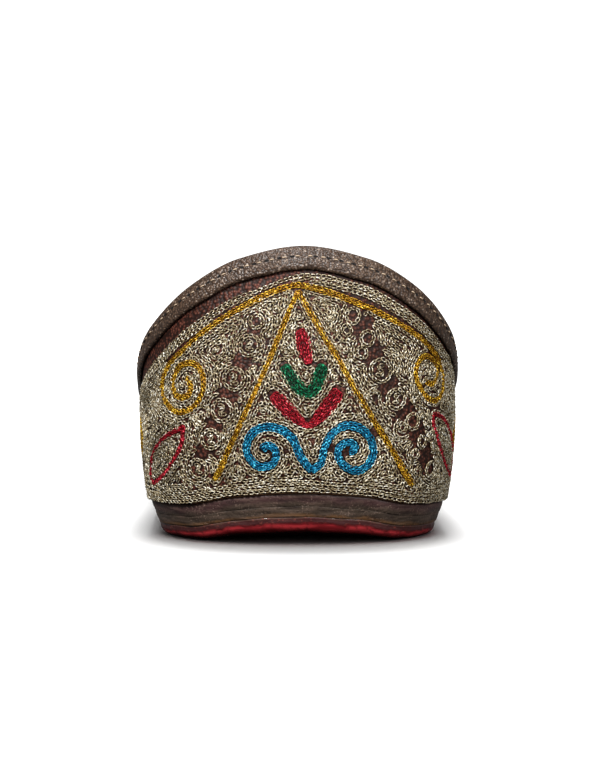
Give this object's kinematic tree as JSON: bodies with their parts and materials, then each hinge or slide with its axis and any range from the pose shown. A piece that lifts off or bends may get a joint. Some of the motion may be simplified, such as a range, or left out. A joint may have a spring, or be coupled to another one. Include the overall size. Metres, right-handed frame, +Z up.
{
  "type": "mojari shoe",
  "caption": "Flat embroidered leather slip-on shoe with a rounded heel counter, low sides, a softly pointed toe and a thin layered leather sole.",
  "frame": {"origin": "on the floor, at the middle of the shoe's length and width", "axes": "+Z up, +Y from heel to toe, +X across the shoe"},
  "size_m": [0.0778, 0.2517, 0.0649],
  "materials": {
    "red_sole_leather": "dyed red, burnished at the bevelled edge",
    "brown_sole_leather": "dark brown stacked layers, waxed edge",
    "insole_leather": "matte tan",
    "upper_leather": "dark brown, fine grain",
    "binding_leather": "grey-taupe, fine grain",
    "embroidery_thread": "satin thread in silver, gold, red, green and blue"
  },
  "bodies": {
    "root": {"outsole": "red_sole_leather", "heel_lift": "brown_sole_leather", "midsole": "brown_sole_leather", "insole": "insole_leather", "upper": "upper_leather", "topline_binding": "binding_leather"}
  },
  "joints": []
}
